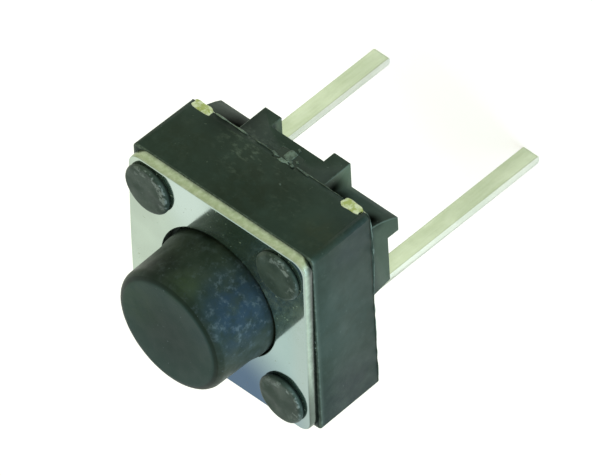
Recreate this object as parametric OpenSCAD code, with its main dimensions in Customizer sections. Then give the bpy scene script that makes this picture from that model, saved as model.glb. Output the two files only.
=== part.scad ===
// Two-pin through-hole tactile push button switch.
// Z = 0 is the face of the circuit board, the leads run down through it and the
// plunger points up. X runs from lead to lead. All sizes are in millimetres.

/* [Housing] */
// Side of the square housing
body_w = 6; // [5.8:0.1:8]
// Height from the board to the front of the cover
case_h = 3.3; // [3:0.1:5]
// Radius of the housing's four upright corners
body_corner_r = 0.15; // [0.1:0.05:0.5]
// How far each side slopes in from the cover to the mould's parting line
side_draft = 0.03; // [0:0.005:0.06]
// Height of the main block's underside above the board
block_z = 0.98; // [0.9:0.01:1.1]
// Height of the lower block's face above the board, which is the length of the stand-offs
standoff_h = 0.37; // [0.2:0.01:0.5]
// Step between the main block and the lower block at the mould's parting line
parting_step = 0.01; // [0.005:0.005:0.05]

/* [Stand-offs] */
// Clear width between the two stand-off rails
rail_gap = 1.74; // [1.2:0.02:1.9]
// Width of one stand-off rail
rail_w = 0.56; // [0.3:0.02:0.7]
// How far the shoulders reach from the centre line, towards the cut ends of the strips
shoulder_reach = 2.5; // [2.3:0.05:2.7]
// Radius of the shoulders' rounded back
shoulder_r = 2.3; // [1.6:0.1:3]
// Height of that rounded back's centre above the board
shoulder_r_z = 1.24; // [1:0.02:1.4]
// Width of the foot at the end of each shoulder
foot_w = 0.45; // [0.3:0.05:0.8]
// Slope of the shoulder's end beside the lead, as its run from top to bottom
shoulder_draft = 0.12; // [0:0.02:0.2]
// Width of the lower block beneath the contacts
belly_w = 4.4; // [4.2:0.1:4.45]

/* [Cover] */
// Thickness of the cover
cover_t = 0.3; // [0.2:0.05:0.4]
// Housing left showing beyond the cover's edge at each lead's side
cover_reveal = 0.07; // [0:0.005:0.1]
// Housing left showing beyond the cover's other two edges
cover_reveal_y = 0.005; // [0:0.005:0.1]
// Radius of the cover's corners
cover_corner_r = 0.4; // [0.1:0.05:0.9]
// Radial gap between the plunger and the hole in the cover
plunger_gap = 0.15; // [0.05:0.01:0.2]

/* [Stakes] */
// Diameter of a staking post
post_d = 1; // [0.6:0.05:1.1]
// Distance from the housing's side to a post's centre
post_inset = 0.85; // [0.8:0.025:1]
// Radial gap between a post and its hole in the cover
post_gap = 0.08; // [0.02:0.01:0.1]
// Diameter of a staked head
head_d = 1.4; // [1.3:0.05:1.6]
// Height of a staked head above the cover
head_h = 0.16; // [0.1:0.01:0.3]
// Width and height of the bevel round a staked head
head_bevel = 0.08; // [0.02:0.01:0.09]

/* [Plunger] */
// Height from the board to the top of the plunger
height = 5.1; // [4.3:0.1:13]
// Diameter of the plunger
plunger_d = 3.5; // [2.8:0.1:3.6]
// How much the plunger's radius narrows towards its top
plunger_taper = 0.02; // [0:0.005:0.05]
// Radius of the rounded edge at the plunger's top
plunger_edge_r = 0.27; // [0.05:0.01:0.4]
// How far the flange stands out from the plunger
flange_lip = 0.4; // [0.3:0.02:0.5]
// Thickness of the flange
flange_t = 0.75; // [0.4:0.05:1]
// Diameter of the boss that presses the dome
boss_d = 1.6; // [1:0.1:2.4]
// Radial gap between the flange and its pocket
flange_gap = 0.2; // [0.1:0.02:0.25]
// Travel of the plunger
travel = 0.25; // [0.15:0.01:0.35]

/* [Snap dome] */
// Diameter of the dome
dome_d = 4; // [3.4:0.1:4.2]
// Thickness of the dome's sheet
dome_t = 0.07; // [0.05:0.01:0.1]
// Radial gap between the dome and its pocket
dome_gap = 0.08; // [0.03:0.01:0.12]
// Depth of the dome's pocket
dome_pocket_h = 0.47; // [0.4:0.01:0.6]

/* [Terminals] */
// Distance between the centres of the two leads
lead_pitch = 5; // [4.9:0.05:5.1]
// Width of a lead
lead_w = 0.5; // [0.4:0.05:0.6]
// Thickness of the lead-frame sheet
lead_t = 0.25; // [0.2:0.01:0.3]
// Length of a lead below the board's face
lead_len = 5.1; // [2:0.1:8]
// Inner radius of the bend into the lead
bend_r = 0.12; // [0.08:0.01:0.15]
// Bevel along the two long edges of a lead's tip
tip_bevel = 0.05; // [0.01:0.01:0.08]
// Height of the lead-frame's lower face above the board
frame_z = 0.88; // [0.8:0.01:0.95]
// How far the cut end of a strip stands out of the housing's side
tie_proud = 0.03; // [0:0.01:0.05]
// Diameter of the centre contact
pad_d = 1.2; // [0.8:0.1:1.6]
// Radial width of the C-shaped outer contact
rim_contact_w = 0.45; // [0.3:0.05:0.6]
// Angle left open in the C-shaped contact
rim_contact_open = 120; // [90:10:160]
// Height that the contacts are pressed up out of the lead frame, through the plastic over it
contact_rise = 0.1; // [0.05:0.01:0.15]
// Width of the arms that join the contacts to their strips
arm_w = 0.6; // [0.4:0.05:0.7]

/* [Gate mark] */
// Width of the recess at the moulding gate
gate_w = 0.7; // [0.4:0.05:1]
// Height of that recess
gate_h = 0.4; // [0.3:0.05:0.5]
// Depth of that recess
gate_depth = 0.08; // [0.04:0.01:0.12]
// Diameter of the sheared gate stub inside the recess
gate_stub_d = 0.26; // [0.15:0.01:0.28]
// Sideways place of the gate along the housing's side
gate_x = 0.17; // [-0.4:0.01:0.4]

/* [Hidden] */
$fn = 64;
// Excess length that carries a cut clear through a face
over = 0.5;
cover_back_z = case_h - cover_t;
cover_size = [body_w - 2 * cover_reveal, body_w - 2 * cover_reveal_y];
plunger_hole_r = plunger_d / 2 + plunger_gap;
post_at = body_w / 2 - post_inset;
rail_out = rail_gap / 2 + rail_w;
// Half widths of the main block at the parting line, and of what lies below it
parting_half = body_w / 2 - side_draft;
lower_half = parting_half - parting_step;
strip_top_z = frame_z + lead_t;
// The raised contacts lie flush with the floor of the dome's pocket
floor_z = strip_top_z + contact_rise;
dome_rise = travel + dome_t;
dome_top_z = floor_z + dome_rise;
dome_r = dome_d / 2;
// Outer radius of the sphere whose cap is the dome
dome_sphere_r = (pow(dome_r, 2) + pow(dome_rise, 2)) / (2 * dome_rise);
flange_r = plunger_d / 2 + flange_lip;
flange_z = cover_back_z - flange_t;
shelf_z = floor_z + dome_pocket_h;
// The bend's centre, seen along X
bend_y = lead_t / 2 + bend_r;
bend_z = frame_z - bend_r;
arm_y = bend_y + arm_w / 2;
foot_out = shoulder_reach - shoulder_r + sqrt(pow(shoulder_r, 2) - pow(shoulder_r_z, 2));

// Outline with round corners, centred, where size is its length in X and in Y
module rounded_outline(size, r) {
    square([size[0] - 2 * r, size[1]], center = true);
    square([size[0], size[1] - 2 * r], center = true);
    at_corners(size / 2 - [r, r]) circle(r);
}

// Repeats its child at the four corners of a centred rectangle, given by its half sizes
module at_corners(half) {
    for (x = [-half[0], half[0]])
        for (y = [-half[1], half[1]])
            translate([x, y, 0]) children();
}

// Extrudes a Y-Z outline along X between two places
module along_x(x_from, x_to) {
    translate([x_from, 0, 0])
        rotate([90, 0, 90])
            linear_extrude(height = x_to - x_from) children();
}

// Side view of a shoulder: foot at the far end, rounded back, sloping end beside the lead
module shoulder_outline() {
    intersection() {
        polygon([
            [lead_t / 2, block_z + over],
            [lead_t / 2, block_z],
            [lead_t / 2 + shoulder_draft, standoff_h],
            [foot_out - foot_w, standoff_h],
            [foot_out - foot_w, 0],
            [body_w, 0],
            [body_w, block_z + over]
        ]);
        translate([shoulder_reach - shoulder_r, shoulder_r_z]) circle(shoulder_r);
    }
}

module shoulders() {
    along_x(rail_out - over, lower_half) shoulder_outline();
    along_x(-lower_half, over - rail_out) shoulder_outline();
}

// Block whose sides and round corners all slope in by the draft, from the cover down to the
// parting line
module main_block() {
    corner_at = body_w / 2 - body_corner_r;
    for (turn = [0, 90])
        rotate([0, 0, turn])
            along_x(-corner_at, corner_at)
                polygon([
                    [-parting_half, block_z], [parting_half, block_z],
                    [body_w / 2, cover_back_z], [-body_w / 2, cover_back_z]
                ]);
    translate([0, 0, block_z])
        at_corners([corner_at, corner_at])
            cylinder(h = cover_back_z - block_z, r1 = body_corner_r - side_draft, r2 = body_corner_r);
}

// Slab across the housing, the part under the contacts, and the two rails
module lower_block() {
    slab_h = block_z + over - standoff_h;
    translate([-rail_out, -lower_half, standoff_h]) cube([2 * rail_out, 2 * lower_half, slab_h]);
    translate([-belly_w / 2, -foot_out, standoff_h]) cube([belly_w, foot_out + bend_y, slab_h]);
    for (x = [-rail_out, rail_gap / 2])
        translate([x, -lower_half, 0]) cube([rail_w, 2 * lower_half, block_z]);
}

// Post through the cover, with its end formed into a flat bevelled head
module stake() {
    translate([0, 0, cover_back_z - over]) cylinder(h = cover_t + over + head_h / 2, d = post_d);
    translate([0, 0, case_h]) cylinder(h = head_h - head_bevel, d = head_d);
    translate([0, 0, case_h + head_h - head_bevel])
        cylinder(h = head_bevel, d1 = head_d, d2 = head_d - 2 * head_bevel);
}

// Stepped well: the dome's pocket below, the flange's pocket above
module well() {
    translate([0, 0, floor_z]) cylinder(h = case_h, r = dome_r + dome_gap);
    translate([0, 0, shelf_z]) cylinder(h = case_h, r = flange_r + flange_gap);
}

// Shallow recess where the moulding was filled, with the sheared stub left inside it
module gate_mark() {
    translate([gate_x, parting_half, block_z - gate_h / 4])
        difference() {
            cube([gate_w, 2 * gate_depth, gate_h], center = true);
            rotate([90, 0, 0]) cylinder(h = 2 * gate_depth, d = gate_stub_d, center = true);
        }
}

module base() {
    color("#2a302d")
        difference() {
            union() {
                difference() {
                    union() {
                        main_block();
                        lower_block();
                        shoulders();
                    }
                    well();
                }
                at_corners([post_at, post_at]) stake();
            }
            centre_terminal_shape();
            outer_terminal_shape();
            gate_mark();
        }
}

module cover_plate() {
    color("#c4d2c9")
        translate([0, 0, cover_back_z])
            linear_extrude(height = cover_t)
                difference() {
                    rounded_outline(cover_size, cover_corner_r);
                    circle(plunger_hole_r);
                    at_corners([post_at, post_at]) circle(post_d / 2 + post_gap);
                }
}

// Half section of the plunger, turned about the Z axis
module plunger_section() {
    shank_r = plunger_d / 2;
    top_r = shank_r - plunger_taper;
    edge_at = [top_r - plunger_edge_r, height - plunger_edge_r];
    square_from([0, dome_top_z], [boss_d / 2, flange_z + over / 2]);
    square_from([0, flange_z], [flange_r, cover_back_z]);
    polygon([
        [0, flange_z], [shank_r, flange_z], [shank_r, cover_back_z],
        [top_r, edge_at[1]], [0, edge_at[1]]
    ]);
    square_from([0, flange_z], [edge_at[0], height]);
    translate(edge_at) circle(plunger_edge_r);
}

// Rectangle between two opposite corners
module square_from(low, high) {
    translate(low) square(high - low);
}

module plunger() {
    color("#46524f")
        rotate_extrude() plunger_section();
}

// Cap of a thin spherical shell, resting on its rim
module snap_dome() {
    color("#b9bcbd")
        rotate_extrude()
            intersection() {
                translate([0, dome_top_z - dome_sphere_r])
                    difference() {
                        circle(dome_sphere_r, $fn = 256);
                        circle(dome_sphere_r - dome_t, $fn = 256);
                    }
                square_from([0, floor_z], [dome_r + dome_gap, dome_top_z + dome_t]);
            }
}

// Side view of a strip, its bend and its lead
module lead_outline() {
    square_from([bend_y, frame_z], [parting_half + tie_proud, strip_top_z]);
    square_from([-lead_t / 2, tip_bevel - lead_len], [lead_t / 2, bend_z]);
    translate([0, -lead_len])
        polygon([
            [-lead_t / 2, tip_bevel], [tip_bevel - lead_t / 2, 0],
            [lead_t / 2 - tip_bevel, 0], [lead_t / 2, tip_bevel]
        ]);
    intersection() {
        translate([bend_y, bend_z])
            difference() {
                circle(bend_r + lead_t);
                circle(bend_r);
            }
        square_from([-lead_t, bend_z], [bend_y, strip_top_z]);
    }
}

// Strip and lead at one end of the pitch, where side is 1 or -1
module lead(side) {
    along_x(side * lead_pitch / 2 - lead_w / 2, side * lead_pitch / 2 + lead_w / 2) lead_outline();
}

// Flat piece of the lead frame, up to the stated height
module frame_sheet(top_z) {
    translate([0, 0, frame_z]) linear_extrude(height = top_z - frame_z) children();
}

// Pad under the middle of the dome, on an arm from the strip
module centre_terminal_shape() {
    lead(1);
    frame_sheet(floor_z) circle(d = pad_d);
    frame_sheet(strip_top_z) {
        square_from([0, 0], [pad_d / 2, arm_y]);
        square_from([0, arm_y - arm_w / 2], [lead_pitch / 2, arm_y + arm_w / 2]);
    }
}

// C-shaped contact under the rim of the dome, on an arm from the strip
module outer_terminal_shape() {
    reach = body_w;
    lead(-1);
    frame_sheet(floor_z)
        difference() {
            circle(dome_r);
            circle(dome_r - rim_contact_w);
            polygon([
                [0, 0],
                [reach, reach * tan(rim_contact_open / 2)],
                [reach, -reach * tan(rim_contact_open / 2)]
            ]);
        }
    frame_sheet(strip_top_z)
        square_from([-lead_pitch / 2, arm_y - arm_w / 2], [rim_contact_w / 2 - dome_r, arm_y + arm_w / 2]);
}

module centre_terminal() {
    color("#c9cdb0") centre_terminal_shape();
}

module outer_terminal() {
    color("#c9cdb0") outer_terminal_shape();
}

base();
cover_plate();
plunger();
snap_dome();
centre_terminal();
outer_terminal();
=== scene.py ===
# Two-pin tactile push button switch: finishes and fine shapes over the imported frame.
# Lengths in the dictionaries are millimetres; the scene itself is in metres.
import math

import bmesh
import bpy
import numpy as np
from mathutils import Matrix, Vector


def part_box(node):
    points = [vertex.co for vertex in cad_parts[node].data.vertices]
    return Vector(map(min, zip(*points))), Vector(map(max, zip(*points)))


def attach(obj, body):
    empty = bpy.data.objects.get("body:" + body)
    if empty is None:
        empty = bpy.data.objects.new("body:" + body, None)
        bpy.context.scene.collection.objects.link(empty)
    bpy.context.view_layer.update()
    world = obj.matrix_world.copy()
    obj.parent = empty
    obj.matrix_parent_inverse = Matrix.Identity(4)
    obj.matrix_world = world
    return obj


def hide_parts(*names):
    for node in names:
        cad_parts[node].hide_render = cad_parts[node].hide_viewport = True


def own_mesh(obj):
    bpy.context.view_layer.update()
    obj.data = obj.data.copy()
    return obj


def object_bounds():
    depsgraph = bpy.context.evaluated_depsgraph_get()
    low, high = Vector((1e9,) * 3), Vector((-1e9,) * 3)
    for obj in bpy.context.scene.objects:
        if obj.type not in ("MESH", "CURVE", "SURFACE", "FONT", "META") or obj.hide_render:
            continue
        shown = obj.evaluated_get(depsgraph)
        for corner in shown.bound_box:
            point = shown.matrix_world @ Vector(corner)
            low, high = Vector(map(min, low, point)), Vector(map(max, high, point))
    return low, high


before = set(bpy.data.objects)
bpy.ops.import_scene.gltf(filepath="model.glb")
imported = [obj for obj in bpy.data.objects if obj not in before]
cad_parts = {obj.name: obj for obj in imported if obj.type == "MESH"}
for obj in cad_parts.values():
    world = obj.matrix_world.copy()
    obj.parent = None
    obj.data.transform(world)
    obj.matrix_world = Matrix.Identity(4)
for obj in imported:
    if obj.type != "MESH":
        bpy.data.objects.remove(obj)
cadLow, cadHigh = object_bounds()
mm = 0.001


# Lowest and highest corner of a node of the frame, in millimetres
def boxOf(node):
    return [[round(value / mm, 3) for value in corner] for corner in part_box(node)]


coverLow, coverHigh = boxOf("cover_plate")
plungerLow, plungerHigh = boxOf("plunger")
domeLow, domeHigh = boxOf("snap_dome")
print("frame loaded")


def addObject(name, mesh):
    made = bpy.data.objects.new(name, mesh)
    bpy.context.scene.collection.objects.link(made)
    return made


# Mesh from points in millimetres and a list of faces, with its normals turned outwards
def meshFrom(name, points, faces):
    mesh = bpy.data.meshes.new(name)
    mesh.from_pydata((np.asarray(points, float) * mm).tolist(), [], faces)
    shell = bmesh.new()
    shell.from_mesh(mesh)
    bmesh.ops.remove_doubles(shell, verts=shell.verts, dist=1e-9)
    bmesh.ops.recalc_face_normals(shell, faces=shell.faces)
    shell.to_mesh(mesh)
    shell.free()
    mesh.polygons.foreach_set("use_smooth", np.ones(len(mesh.polygons), bool))
    mesh.update()
    return mesh


# Gives each point of a mesh a value that the finishes can read
def mark(mesh, name, values):
    mesh.attributes.new(name, "FLOAT", "POINT").data.foreach_set("value", values)


# Closed skin through rings of points, rings[row, step]: four-sided faces between a ring
# and the next, and a fan of triangles to the middle of the first and of the last ring
def ringFaces(rings, start=0):
    rows, steps = rings.shape[:2]
    here = np.arange(steps)
    after = np.roll(here, -1)
    row = np.arange(rows - 1)[:, None] * steps
    quads = np.stack([row + here, row + after, row + steps + after, row + steps + here], -1)
    last = (rows - 1) * steps
    firstPole, lastPole = rows * steps, rows * steps + 1
    fans = np.concatenate([
        np.stack([after, here, np.full(steps, firstPole)], -1),
        np.stack([last + here, last + after, np.full(steps, lastPole)], -1),
    ])
    points = np.concatenate([rings.reshape(-1, 3), [rings[0].mean(0), rings[-1].mean(0)]])
    faces = (quads.reshape(-1, 4) + start).tolist() + (fans + start).tolist()
    return points, faces


# Smooth noise in about -1..1: the sum of plane waves with random directions and phases,
# where size is the length of the waves in millimetres
def waves(points, size, seed, count=24):
    draw = np.random.default_rng(seed)
    ways = draw.normal(size=(count, points.shape[-1]))
    ways /= np.linalg.norm(ways, axis=1)[:, None]
    ways *= (2 * math.pi / size) * draw.uniform(0.7, 1.5, count)[:, None]
    phases = draw.uniform(0, 2 * math.pi, count)
    return np.sin(points @ ways.T + phases).sum(-1) / math.sqrt(count / 2) / 1.6


# Arc of a profile from one angle to another, in degrees: centre + radius * (cos, sin)
def arc(centre, radius, fromAngle, toAngle, steps=8):
    angle = np.radians(np.linspace(fromAngle, toAngle, steps))
    return np.stack([centre[0] + radius * np.cos(angle), centre[1] + radius * np.sin(angle)], -1)


# Profile points (radius, height) joined by straight runs that are cut into short steps
def runs(parts, step):
    line = [np.atleast_2d(parts[0])]
    for part in parts[1:]:
        part = np.atleast_2d(part)
        begin, end = line[-1][-1], part[0]
        count = max(1, int(np.linalg.norm(end - begin) / step))
        share = np.linspace(0, 1, count + 1)[1:-1, None]
        line += [begin + share * (end - begin), part]
    return np.concatenate(line)


# Surface of revolution about Z: ring point = (radius cos a, radius sin a, height)
def turned(profile, steps):
    angle = np.linspace(0, 2 * math.pi, steps, endpoint=False)
    radius, height = profile[:, 0][:, None], profile[:, 1][:, None]
    flat = np.ones_like(angle)
    return np.stack([radius * np.cos(angle), radius * np.sin(angle), height * flat], -1)


# Gives a socket a value, or a link where the value is another node's output
def feed(tree, socket, value):
    if isinstance(value, bpy.types.NodeSocket):
        tree.links.new(value, socket)
    else:
        socket.default_value = value


# New node with its settings; its inputs go by name, or by number as i0, i1 and so on
def addNode(tree, kind, settings=None, **inputs):
    node = tree.nodes.new(kind)
    for key, value in (settings or {}).items():
        setattr(node, key, value)
    for key, value in inputs.items():
        numbered = key[0] == "i" and key[1:].isdigit()
        feed(tree, node.inputs[int(key[1:]) if numbered else key], value)
    return node


def calc(tree, operation, first, second=0.0, third=0.0):
    settings = {"operation": operation}
    return addNode(tree, "ShaderNodeMath", settings, i0=first, i1=second, i2=third).outputs[0]


def times(tree, first, second):
    return calc(tree, "MULTIPLY", first, second)


def larger(tree, first, second):
    return calc(tree, "MAXIMUM", first, second)


def absolute(tree, value):
    return calc(tree, "ABSOLUTE", value)


def opposite(tree, share):
    return calc(tree, "SUBTRACT", 1, share)


# Value carried from one range to another with eased ends, and held inside the new range
def remap(tree, value, low, high, newLow=0.0, newHigh=1.0):
    return addNode(tree, "ShaderNodeMapRange", {"interpolation_type": "SMOOTHSTEP"},
                   i0=value, i1=low, i2=high, i3=newLow, i4=newHigh).outputs[0]


def blendColour(tree, share, first, second):
    node = addNode(tree, "ShaderNodeMix", {"data_type": "RGBA"}, i0=share)
    for index, colour in ((6, first), (7, second)):
        plain = isinstance(colour, tuple)
        feed(tree, node.inputs[index], (*colour, 1) if plain else colour)
    return node.outputs[2]


# Place on the piece in millimetres, stretched where a pattern has a direction
def place(tree, stretch=(1, 1, 1)):
    coords = addNode(tree, "ShaderNodeTexCoord").outputs["Object"]
    scale = tuple(1000 * s for s in stretch)
    return addNode(tree, "ShaderNodeMapping", Vector=coords, Scale=scale).outputs[0]


def noise(tree, where, scale, detail=3.0, roughness=0.55):
    return addNode(tree, "ShaderNodeTexNoise", Vector=where, Scale=scale, Detail=detail,
                   Roughness=roughness).outputs[0]


# 1 near a centre, falling to 0 at the reach
def spot(tree, where, centre, reach):
    away = addNode(tree, "ShaderNodeVectorMath", {"operation": "DISTANCE"}, i0=where, i1=centre)
    return remap(tree, away.outputs["Value"], 0.15 * reach, reach, 1, 0)


# X, Y and Z of a vector
def partsOf(tree, vector):
    return tuple(addNode(tree, "ShaderNodeSeparateXYZ", i0=vector).outputs)


# X, Y and Z of the way that the surface faces
def facingOf(tree):
    return partsOf(tree, addNode(tree, "ShaderNodeNewGeometry").outputs["Normal"])


def attribute(tree, name):
    return addNode(tree, "ShaderNodeAttribute", {"attribute_name": name}).outputs["Fac"]


def bump(tree, height, depth, strength=1.0):
    return addNode(tree, "ShaderNodeBump", Strength=strength, Distance=depth * mm,
                   Height=height).outputs[0]


def startMaterial(name):
    made = bpy.data.materials.new(name)
    made.use_nodes = True
    return made, made.node_tree, made.node_tree.nodes["Principled BSDF"]


def setShader(tree, shader, **values):
    for key, value in values.items():
        feed(tree, shader.inputs[key.replace("_", " ")], value)


housingLook = {
    "dark": (0.018, 0.030, 0.025), "light": (0.026, 0.043, 0.038), "pale": (0.12, 0.155, 0.14),
    "cloudScale": 0.9, "roughness": 0.5, "specular": 0.19, "sheenTint": (0.62, 1.0, 0.74, 1),
    "grainScale": 26, "grainDepth": 0.005, "speckScale": 9, "speck": 0.35,
    "mottleScale": 3.2, "mottleAndReflection": 0.08, "mottleAndReflectionAt": ((0, 0, 0), 99),  # at: centre, reach
    "calmFrom": 99, "calm": (0, 0, 0),  # plain colour above this height
    # height, half width, strength of rings of painted shade
    "rings": [], "ringShadeColour": (0.003, 0.006, 0.003),
    # place, reach, colour, strength of tinted patches, partly painted reflection and shade
    "tintsAndPaintedLight": [((3, -2.6, 2.1), 1.9, (0.003, 0.011, 0.015), 1.0),
                ((3, 2.6, 1.6), 1.3, (0.010, 0.020, 0.024), 0.8),
                ((3, 0.2, 2.2), 2.2, (0.030, 0.053, 0.050), 0.6),
                ((0.1, 3, 2.3), 2.1, (0.012, 0.017, 0.010), 0.8),
                ((-2.2, 3, 2.2), 1.4, (0.014, 0.020, 0.012), 0.7),
                ((2.5, 3, 2.2), 0.9, (0.032, 0.040, 0.027), 0.7)],
    # place, reach, strength of scuffs
    "scuffs": [((-0.8, 2.97, 1.25), 1.1, 0.8), ((0.35, 2.97, 1.2), 0.6, 0.45),
               ((1.2, 2.97, 1.9), 0.8, 0.25), ((-0.3, 2.97, 1.95), 0.8, 0.35)],
    "jointZ": 0.995, "jointColour": (0.003, 0.005, 0.003),
    # painted light on the faces towards +X below its height, and its shares on the rails and on the
    # shoulders
    "paintedLightZ": 0.75, "paintedLight": (0.108, 0.135, 0.098), "paintedLightShares": (0.95, 0.36),
    # place, reach, strength of the painted shade in the corners under the block
    "corners": [((1.54, 2.55, 0.66), 0.58, 1.0), ((2.70, 2.45, 0.70), 0.42, 1.0),
                ((-1.8, 2.45, 0.72), 1.2, 1.0)],
    "cornerShadeColour": (0.002, 0.003, 0.002),
    # ledge beyond the cover, paler with chalky wear and painted light: where it begins, and its
    # least and most pale share; below it the brim gets painted light on the faces towards +X
    "ledgeZ": 2.97, "ledgeFrom": 2.89, "ledgeWearAndLight": (0.4, 0.8), "brimLightZ": 2.84, "brimLight": 0.3,
    # rubbed edges, pale with wear and painted highlight: least and most, upright ones below footZ,
    # and the painted shade on unchipped ones
    "edgeBaseWearAndHighlight": 0.1, "edgeWearAndHighlight": 0.6, "footWearAndHighlight": 0.7, "footZ": 0.95,
    "edgeShade": 0.15, "edgeShadeColour": (0.008, 0.012, 0.010),
}
buttonLook = dict(
    housingLook, dark=(0.016, 0.025, 0.018), light=(0.034, 0.046, 0.038), pale=(0.12, 0.155, 0.19),
    # on the button the strong pale bluish mottle round its centre is a painted reflection
    cloudScale=1.6, mottleAndReflection=0.66, mottleAndReflectionAt=((1.4, 0.95, 4.0), 1.8), mottleScale=4.6,
    grainDepth=0.004, roughness=0.46, edgeBaseWearAndHighlight=0, edgeWearAndHighlight=0, jointZ=0, scuffs=[], paintedLightZ=0,
    calmFrom=5.085, calm=(0.018, 0.042, 0.040),
    # on the button the rings are painted shade on the round top edge
    rings=[(5.062, 0.04, 0.75), (4.98, 0.12, 0.35)],
    # on the button the patches are painted reflections (bluish, grey, green) and painted shade
    # (near-black)
    tintsAndPaintedLight=[((1.45, 0.95, 4.05), 1.5, (0.024, 0.045, 0.082), 0.9),
             ((1.68, -0.6, 3.8), 1.15, (0.052, 0.068, 0.066), 0.8),
             ((-0.75, 1.58, 4.72), 0.5, (0.002, 0.004, 0.002), 1.0),
             ((-1.09, 0.50, 5.1), 1.3, (0.026, 0.054, 0.038), 0.9),
             ((-0.5, 1.7, 4.6), 0.8, (0.003, 0.006, 0.003), 1.0),
             ((-0.2, 1.75, 3.4), 0.7, (0.003, 0.006, 0.003), 0.9),
             ((0.3, 1.7, 4.75), 0.6, (0.036, 0.055, 0.026), 0.7)])
headLook = dict(
    housingLook, dark=(0.038, 0.056, 0.050), light=(0.066, 0.090, 0.084), pale=(0.21, 0.25, 0.27),
    cloudScale=2.0, mottleAndReflection=0.2, roughness=0.44, jointZ=0, scuffs=[], paintedLightZ=0, edgeBaseWearAndHighlight=0,
    # on the heads the ring at the cover is a painted contact shadow round the foot
    edgeWearAndHighlight=1.0, rings=[(3.31, 0.08, 0.65)])


# Tints and painted light of a moulding: plain above calmFrom, patches with ragged rims that are
# tints partly painted as reflection and shade, a fine mottle that is strongest round its centre
# and is a painted reflection on the button, and dark rings of painted shade
def addTintsAndPaintedLight(tree, look, colour, here, z):
    busy = remap(tree, z, look["calmFrom"] - 0.05, look["calmFrom"], 1, 0)
    colour = blendColour(tree, busy, look["calm"], colour)
    ragged = remap(tree, noise(tree, here, 2.6, 4, 0.65), 0.3, 0.62, 0.25, 1)
    for centre, reach, tint, strength in look["tintsAndPaintedLight"]:
        patch = times(tree, times(tree, spot(tree, here, centre, reach), ragged), strength)
        colour = blendColour(tree, patch, colour, tint)
    flecks = remap(tree, noise(tree, here, look["mottleScale"], 5, 0.7), 0.5, 0.72)
    near = remap(tree, spot(tree, here, *look["mottleAndReflectionAt"]), 0, 0.8, 0.3, 1)
    mottleAndReflection = times(tree, times(tree, flecks, busy), near)
    colour = blendColour(tree, times(tree, mottleAndReflection, look["mottleAndReflection"]), colour, look["pale"])
    for middle, reach, strength in look["rings"]:
        away = absolute(tree, calc(tree, "SUBTRACT", z, middle))
        ring = remap(tree, away, 0.4 * reach, reach, strength, 0)
        colour = blendColour(tree, ring, colour, look["ringShadeColour"])
    return colour


# Dark hairline at the parting plane, strongest on the faces towards +X
def addJoint(tree, look, colour, z, faceX):
    away = absolute(tree, calc(tree, "SUBTRACT", z, look["jointZ"]))
    line = times(tree, remap(tree, away, 0.012, 0.03, 1, 0),
                 remap(tree, faceX, 0.2, 0.6, 0.25, 0.8))
    return blendColour(tree, line, colour, look["jointColour"])


# Painted light on the rails' and shoulders' faces towards +X, and painted shade in the corners,
# which also takes away their sheen
def addUndersideLightAndShade(tree, look, colour, here, x, z, faceX):
    onRails, onShoulders = look["paintedLightShares"]
    paintedLight = times(tree, remap(tree, faceX, 0.6, 0.9), remap(tree, z, look["paintedLightZ"], 1, 1, 0))
    paintedLight = times(tree, paintedLight, remap(tree, absolute(tree, x), 2.0, 2.4, onRails, onShoulders))
    colour = blendColour(tree, paintedLight, colour, look["paintedLight"])
    sheen = look["specular"]
    for centre, reach, strength in look["corners"]:
        corner = times(tree, spot(tree, here, centre, reach), strength)
        colour = blendColour(tree, corner, colour, look["cornerShadeColour"])
        sheen = times(tree, sheen, opposite(tree, corner))
    return colour, sheen


# Chalky wear and painted light on the ledge beyond the cover, and painted light below it on the
# faces towards +X
def addLedgeWearAndLight(tree, look, colour, at, faceX, chips):
    x, y, z = at
    outer = larger(tree, absolute(tree, x), absolute(tree, y))
    ledge = times(tree, remap(tree, z, look["ledgeZ"] - 0.03, look["ledgeZ"] + 0.02),
                  remap(tree, outer, look["ledgeFrom"], look["ledgeFrom"] + 0.04))
    ledge = times(tree, ledge, remap(tree, chips, 0, 1, *look["ledgeWearAndLight"]))
    colour = blendColour(tree, ledge, colour, look["pale"])
    brimLight = times(tree, remap(tree, z, look["brimLightZ"], look["brimLightZ"] + 0.15),
                 remap(tree, faceX, 0.3, 0.8, 0, look["brimLight"]))
    return blendColour(tree, brimLight, colour, look["pale"])


# Pale marks: specks, streaky scuffs and chipped edge strips of wear and painted highlight, most
# of all upright ones below footZ; an edge strip without chips gets painted shade
def addMarks(tree, look, colour, here, z, facing, chips):
    marks = remap(tree, noise(tree, here, look["speckScale"], 2), 0.7, 0.76)
    marks = times(tree, marks, look["speck"])
    streaks = remap(tree, noise(tree, place(tree, (0.8, 1, 1.5)), 4.2, 4, 0.6), 0.5, 0.74)
    for centre, reach, strength in look["scuffs"]:
        scuff = times(tree, times(tree, spot(tree, here, centre, reach), streaks), strength)
        marks = larger(tree, marks, scuff)
    edge = attribute(tree, "edgeStrip")
    rubbedAndLit = remap(tree, chips, 0, 1, look["edgeBaseWearAndHighlight"], look["edgeWearAndHighlight"])
    marks = larger(tree, marks, times(tree, edge, rubbedAndLit))
    shadedEdge = times(tree, edge, opposite(tree, chips))
    colour = blendColour(tree, times(tree, shadedEdge, look["edgeShade"]), colour,
                         look["edgeShadeColour"])
    upright = remap(tree, absolute(tree, times(tree, facing[0], facing[1])), 0.1, 0.35)
    foot = remap(tree, z, look["footZ"] - 0.05, look["footZ"], look["footWearAndHighlight"], 0)
    marks = larger(tree, marks, times(tree, edge, times(tree, upright, foot)))
    return blendColour(tree, marks, colour, look["pale"])
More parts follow.
